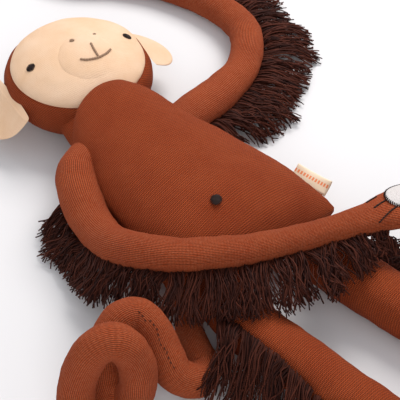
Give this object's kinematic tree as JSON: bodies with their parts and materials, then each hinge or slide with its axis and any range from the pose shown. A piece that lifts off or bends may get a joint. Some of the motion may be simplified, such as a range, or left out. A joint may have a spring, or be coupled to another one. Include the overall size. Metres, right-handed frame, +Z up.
{
  "type": "stuffed monkey",
  "caption": "Knitted stuffed monkey lying on its back, with long fringed arms and legs, a curled tail, a padded muzzle and soft palm pads.",
  "frame": {"origin": "middle of the torso's length, on the surface that the back lies on", "axes": "+Z up through the belly, +Y towards the crown, -X is the monkey's right side"},
  "size_m": [0.4425, 0.701, 0.1081],
  "materials": {
    "rust_knit": "fine cotton jersey knit",
    "peach_knit": "fine cotton jersey knit",
    "wadding": "loose polyester fibre",
    "fringe_thread": "twisted cotton thread, cut ends",
    "dark_embroidery": "satin stitch",
    "brown_embroidery": "satin stitch",
    "label_tape": "woven tape",
    "palm_felt": "brushed hook-and-loop pad"
  },
  "bodies": {
    "torso": {"torso_front_panel": "rust_knit", "torso_back_panel": "rust_knit", "torso_stuffing": "wadding", "belly_button": "dark_embroidery"},
    "label": {"side_label": "label_tape"},
    "head": {"head_hood": "rust_knit", "face_panel": "peach_knit", "head_stuffing": "wadding", "muzzle_patch": "peach_knit", "right_eye": "dark_embroidery", "left_eye": "dark_embroidery", "nostrils": "brown_embroidery", "mouth_stitching": "brown_embroidery"},
    "right_ear": {"right_ear": "peach_knit"},
    "left_ear": {"left_ear": "peach_knit"},
    "right_upper_arm": {"right_upper_arm_skin": "rust_knit", "right_upper_arm_stuffing": "wadding", "right_upper_arm_fringe": "fringe_thread"},
    "right_forearm": {"right_forearm_skin": "rust_knit", "right_forearm_stuffing": "wadding", "right_forearm_fringe": "fringe_thread", "right_palm_pad": "palm_felt", "right_finger_stitches": "dark_embroidery"},
    "left_upper_arm": {"left_upper_arm_skin": "rust_knit", "left_upper_arm_stuffing": "wadding", "left_upper_arm_fringe": "fringe_thread"},
    "left_forearm": {"left_forearm_skin": "rust_knit", "left_forearm_stuffing": "wadding", "left_forearm_fringe": "fringe_thread", "left_palm_pad": "palm_felt", "left_finger_stitches": "dark_embroidery"},
    "right_thigh": {"right_thigh_skin": "rust_knit", "right_thigh_stuffing": "wadding", "right_thigh_fringe": "fringe_thread"},
    "right_shin": {"right_shin_skin": "rust_knit", "right_shin_stuffing": "wadding", "right_shin_fringe": "fringe_thread", "right_toe_stitches": "dark_embroidery"},
    "left_thigh": {"left_thigh_skin": "rust_knit", "left_thigh_stuffing": "wadding", "left_thigh_fringe": "fringe_thread"},
    "left_shin": {"left_shin_skin": "rust_knit", "left_shin_stuffing": "wadding", "left_shin_fringe": "fringe_thread", "left_toe_stitches": "dark_embroidery"},
    "tail_base": {"tail_base_skin": "rust_knit", "tail_base_stuffing": "wadding"},
    "tail_curl": {"tail_curl_skin": "rust_knit", "tail_curl_stuffing": "wadding"}
  },
  "joints": [
    {"name": "neck_nod", "type": "hinge", "parent": "torso", "child": "head", "pos_m": [0.002, 0.087, 0.038], "axis": [1, 0, 0], "range_deg": [-8, 8]},
    {"name": "right_ear_flap", "type": "hinge", "parent": "head", "child": "right_ear", "pos_m": [-0.067, 0.16, 0.039], "axis": [0.087, 0.9962, 0], "range_deg": [0, 45]},
    {"name": "left_ear_flap", "type": "hinge", "parent": "head", "child": "left_ear", "pos_m": [0.071, 0.148, 0.039], "axis": [-0.087, -0.9962, 0], "range_deg": [0, 45]},
    {"name": "label_flap", "type": "hinge", "parent": "torso", "child": "label", "pos_m": [0.083, -0.058, 0.029], "axis": [0.259, -0.9659, 0], "range_deg": [-15, 70]},
    {"name": "right_shoulder_lift", "type": "hinge", "parent": "torso", "child": "right_upper_arm", "pos_m": [-0.05, 0.06, 0.04], "axis": [-1, 0, 0], "range_deg": [0, 75], "deforming": ["right_upper_arm_fringe"]},
    {"name": "right_elbow_swing", "type": "hinge", "parent": "right_upper_arm", "child": "right_forearm", "pos_m": [-0.088, -0.022, 0.042], "axis": [0, 0, 1], "range_deg": [-20, 0], "deforming": ["right_forearm_fringe"]},
    {"name": "left_shoulder_lift", "type": "hinge", "parent": "torso", "child": "left_upper_arm", "pos_m": [0.047, 0.062, 0.032], "axis": [0, -1, 0], "range_deg": [0, 70], "deforming": ["left_upper_arm_fringe"]},
    {"name": "left_elbow_swing", "type": "hinge", "parent": "left_upper_arm", "child": "left_forearm", "pos_m": [0.155, 0.111, 0.018], "axis": [0, 0, 1], "range_deg": [-60, 0], "deforming": ["left_forearm_fringe"]},
    {"name": "right_hip_swing", "type": "hinge", "parent": "torso", "child": "right_thigh", "pos_m": [-0.046, -0.124, 0.027], "axis": [0, 0, 1], "range_deg": [-8, 8], "deforming": ["right_thigh_fringe"]},
    {"name": "right_knee_bend", "type": "hinge", "parent": "right_thigh", "child": "right_shin", "pos_m": [-0.027, -0.24, 0.023], "axis": [-1, 0, 0], "range_deg": [0, 60], "deforming": ["right_shin_fringe"]},
    {"name": "left_hip_swing", "type": "hinge", "parent": "torso", "child": "left_thigh", "pos_m": [0.043, -0.11, 0.027], "axis": [0, 0, 1], "range_deg": [-8, 40], "deforming": ["left_thigh_fringe"]},
    {"name": "left_knee_bend", "type": "hinge", "parent": "left_thigh", "child": "left_shin", "pos_m": [0.075, -0.247, 0.023], "axis": [-1, 0, 0], "range_deg": [0, 60], "deforming": ["left_shin_fringe"]},
    {"name": "tail_swing", "type": "hinge", "parent": "torso", "child": "tail_base", "pos_m": [-0.083, -0.124, 0.018], "axis": [0, 0, 1], "range_deg": [-8, 2]},
    {"name": "tail_curl_swing", "type": "hinge", "parent": "tail_base", "child": "tail_curl", "pos_m": [-0.104, -0.165, 0.018], "axis": [0, 0, 1], "range_deg": [-8, 10]}
  ]
}
